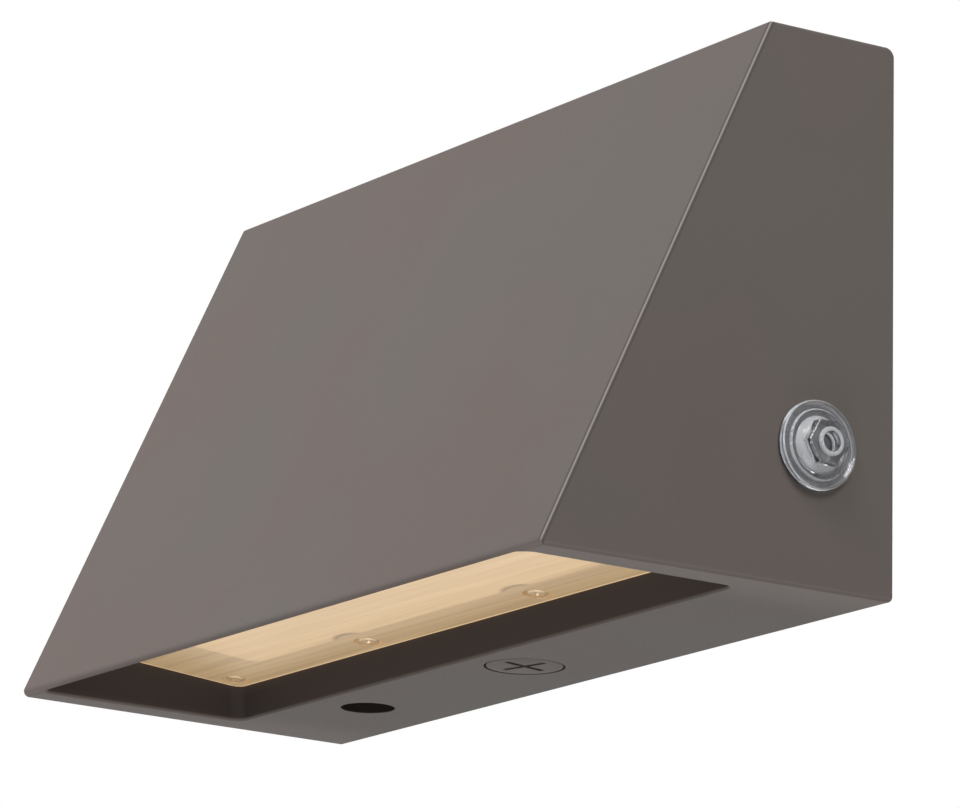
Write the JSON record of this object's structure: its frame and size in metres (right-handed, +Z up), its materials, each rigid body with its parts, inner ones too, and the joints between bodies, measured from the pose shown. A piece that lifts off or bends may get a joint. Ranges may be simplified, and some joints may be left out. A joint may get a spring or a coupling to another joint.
{
  "type": "wall pack light",
  "caption": "Wedge-shaped outdoor wall light with a recessed downward lens, a light sensor on one end and a hinged housing on a wall plate.",
  "frame": {"origin": "centre of the wall plate's fixing holes, in the plane of the wall", "axes": "+X to the right of someone facing the light, +Y into the wall, +Z up"},
  "size_m": [0.288, 0.1205, 0.162],
  "materials": {
    "housing_paint": "satin fine-textured powder coat, dark bronze grey",
    "zinc_steel": "zinc-plated sheet steel",
    "bright_steel": "bright plated screws and pins",
    "black_rubber": "matt black rubber",
    "grey_foam": "closed-cell foam",
    "silicone": "translucent white silicone",
    "diffuser": "frosted diffusing plastic, lit warm from behind",
    "white_sheet": "gloss white enamel",
    "white_board": "white solder mask on an aluminium board",
    "led_yellow": "yellow phosphor",
    "pad_grey": "soft heat-conducting pad",
    "driver_shell": "off-white moulded case",
    "terminal_plastic": "natural nylon",
    "brass_clamp": "plated brass",
    "lead_red": "red insulation",
    "lead_black": "black insulation",
    "lead_white": "white insulation",
    "lead_green": "green insulation",
    "clear_plastic": "clear polycarbonate",
    "sensor_black": "black potted can",
    "green_screw": "green plated earth screw"
  },
  "bodies": {
    "wall_plate": {"wall_plate": "zinc_steel", "hinge_brackets": "zinc_steel", "lock_bracket": "zinc_steel", "bracket_rivets": "bright_steel", "wall_seal": "grey_foam", "cable_grommet": "black_rubber", "ground_screw": "green_screw"},
    "housing": {"housing": "housing_paint", "hinge_pins": "bright_steel", "rim_gasket": "grey_foam", "lens": "diffuser", "lens_gasket": "silicone", "lens_screws": "bright_steel", "reflector": "white_sheet", "thermal_pad": "pad_grey", "led_board": "white_board", "led_chips": "led_yellow", "led_board_screws": "bright_steel", "driver_case": "driver_shell", "driver_screws": "bright_steel", "terminal_block": "terminal_plastic", "terminal_screws": "brass_clamp", "terminal_fixing_screw": "bright_steel", "housing_earth_screw": "green_screw", "earth_lead": "lead_green", "line_lead": "lead_black", "neutral_lead": "lead_white", "led_lead_red": "lead_red", "led_lead_black": "lead_black", "photocell_lead_a": "lead_black", "photocell_lead_b": "lead_red", "web_grommet": "black_rubber", "photocell_window": "clear_plastic", "photocell_gasket": "black_rubber", "photocell_nut": "sensor_black", "photocell_sensor": "sensor_black", "lock_seal": "black_rubber"},
    "lock_screw": {"lock_screw": "bright_steel"},
    "lock_nut": {"lock_nut": "zinc_steel"},
    "plug_seal": {"plug_seal": "black_rubber"},
    "conduit_plug": {"conduit_plug": "housing_paint"}
  },
  "joints": [
    {"name": "housing_swing", "type": "hinge", "parent": "wall_plate", "child": "housing", "pos_m": [0, -0.0087, 0.0795], "axis": [-1, 0, 0], "range_deg": [0, 80]},
    {"name": "lock_nut_slide", "type": "slide", "parent": "housing", "child": "lock_nut", "axis": [0, 0, 1], "range_m": [0, 0.004]},
    {"name": "lock_turn", "type": "hinge", "parent": "housing", "child": "lock_screw", "pos_m": [-0.0835, -0.0296, -0.07], "axis": [0, 0, -1], "range_deg": [0, 1800]},
    {"name": "plug_slide", "type": "slide", "parent": "housing", "child": "plug_seal", "axis": [0, 0, -1], "range_m": [0, 0.0109]},
    {"name": "plug_turn", "type": "hinge", "parent": "plug_seal", "child": "conduit_plug", "pos_m": [0, -0.0293, -0.075], "axis": [0, 0, -1], "range_deg": [0, 2160]}
  ],
  "couplings": [
    {"joint": "lock_turn", "follows": "lock_nut_slide", "rad_per_m": 7854},
    {"joint": "plug_slide", "follows": "plug_turn", "m_per_rad": 0.0002887}
  ]
}
